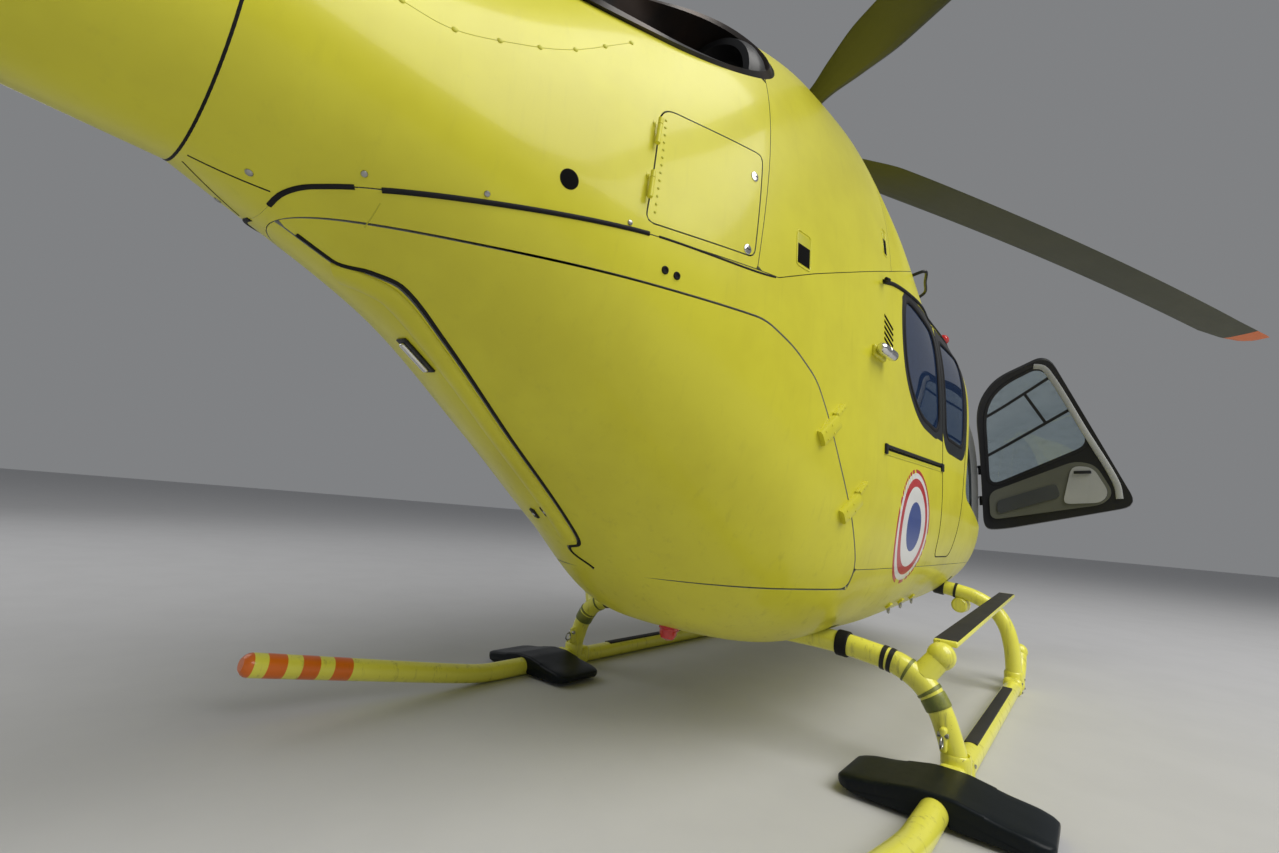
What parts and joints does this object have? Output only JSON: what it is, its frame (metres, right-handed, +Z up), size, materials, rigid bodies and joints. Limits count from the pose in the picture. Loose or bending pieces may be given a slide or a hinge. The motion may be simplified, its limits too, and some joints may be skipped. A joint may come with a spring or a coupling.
{
  "type": "helicopter",
  "caption": "Light twin-engined rescue helicopter with a rounded cabin, clamshell rear doors, skid landing gear, a ducted tail fan and one pilot door standing open.",
  "frame": {"origin": "middle of the whole object's floor rectangle, at the height the skids stand on", "axes": "+X forward to the nose, +Y to port, +Z up"},
  "size_m": [11.3886, 8.7174, 3.5021],
  "materials": {
    "yellow_paint": "gloss greenish-yellow paint",
    "tail_paint": "gloss greenish-yellow paint over composite",
    "gear_paint": "gloss greenish-yellow paint, scuffed",
    "window_glass": "tinted",
    "door_black": "satin black paint",
    "pipe_steel": "heat-stained",
    "machine_metal": "satin grey",
    "blade_olive": "satin olive paint over composite",
    "fan_grey": "satin",
    "plate_black": "satin, scuffed",
    "seat_cloth": "woven",
    "panel_plastic": "textured"
  },
  "bodies": {
    "airframe": {"cabin_frame": "yellow_paint", "lower_hull": "yellow_paint", "nose_shell": "yellow_paint", "gearbox_cowling": "yellow_paint", "tail_cone": "yellow_paint", "engine_cowling_right": "yellow_paint", "engine_cowling_left": "yellow_paint", "windshield_right": "window_glass", "windshield_left": "window_glass", "sliding_door_right": "yellow_paint", "sliding_door_left": "yellow_paint", "sliding_glass_right": "window_glass", "sliding_glass_left": "window_glass", "rear_window_right": "window_glass", "rear_window_left": "window_glass", "exhaust_pipe_right": "pipe_steel", "exhaust_pipe_left": "pipe_steel", "engine_block": "machine_metal", "main_gearbox": "machine_metal", "mast_housing": "machine_metal", "tail_boom": "tail_paint", "tailplane": "tail_paint", "tail_fin": "tail_paint", "tail_stator": "fan_grey", "tail_bumper": "door_black", "skid_tube_right": "gear_paint", "skid_tube_left": "gear_paint", "cross_tube_aft": "gear_paint", "cross_tube_front": "gear_paint", "step_right": "gear_paint", "step_left": "gear_paint", "ground_plate_right": "plate_black", "ground_plate_left": "plate_black", "pilot_seat_right": "seat_cloth", "pilot_seat_left": "seat_cloth", "rear_bench": "seat_cloth", "instrument_panel": "panel_plastic"},
    "main_rotor": {"rotor_hub": "machine_metal", "rotor_blade_1": "blade_olive", "rotor_blade_2": "blade_olive", "rotor_blade_3": "blade_olive", "rotor_blade_4": "blade_olive"},
    "tail_rotor": {"tail_fan": "fan_grey"},
    "pilot_door_right_body": {"pilot_door_right": "door_black", "pilot_glass_right": "window_glass"},
    "pilot_door_left_body": {"pilot_door_left": "door_black", "pilot_glass_left": "window_glass"},
    "clamshell_right_body": {"clamshell_door_right": "yellow_paint"},
    "clamshell_left_body": {"clamshell_door_left": "yellow_paint"},
    "service_right_body": {"service_door_right": "yellow_paint"},
    "service_left_body": {"service_door_left": "yellow_paint"}
  },
  "joints": [
    {"name": "main_rotor_spin", "type": "hinge", "parent": "airframe", "child": "main_rotor", "pos_m": [1.33566, 0, 3.31231], "axis": [0, 0, 1], "continuous": true},
    {"name": "tail_rotor_spin", "type": "hinge", "parent": "airframe", "child": "tail_rotor", "pos_m": [-4.74434, -0.06, 1.79231], "axis": [0, 1, 0], "continuous": true},
    {"name": "pilot_door_right_hinge", "type": "hinge", "parent": "airframe", "child": "pilot_door_right_body", "pos_m": [3.58766, -0.8, 1.04231], "axis": [-0.0118, 0.0329, 0.9994], "range_deg": [-85, 0]},
    {"name": "pilot_door_left_hinge", "type": "hinge", "parent": "airframe", "child": "pilot_door_left_body", "pos_m": [3.57766, 0.772, 1.89231], "axis": [0.0118, 0.0329, -0.9994], "range_deg": [0, 85]},
    {"name": "clamshell_door_right_hinge", "type": "hinge", "parent": "airframe", "child": "clamshell_right_body", "pos_m": [0.73066, -0.777, 1.02231], "axis": [-0.6421, 0.0353, 0.7658], "range_deg": [0, 88]},
    {"name": "clamshell_door_left_hinge", "type": "hinge", "parent": "airframe", "child": "clamshell_left_body", "pos_m": [0.40366, 0.759, 1.41231], "axis": [0.6421, 0.0353, -0.7658], "range_deg": [0, 88]},
    {"name": "service_door_right_hinge", "type": "hinge", "parent": "airframe", "child": "service_right_body", "pos_m": [-0.46834, -0.568, 2.08231], "axis": [-0.0751, 0, -0.9972], "range_deg": [0, 95]},
    {"name": "service_door_left_hinge", "type": "hinge", "parent": "airframe", "child": "service_left_body", "pos_m": [-0.49434, 0.568, 1.73731], "axis": [0.0751, 0, 0.9972], "range_deg": [0, 95]}
  ]
}
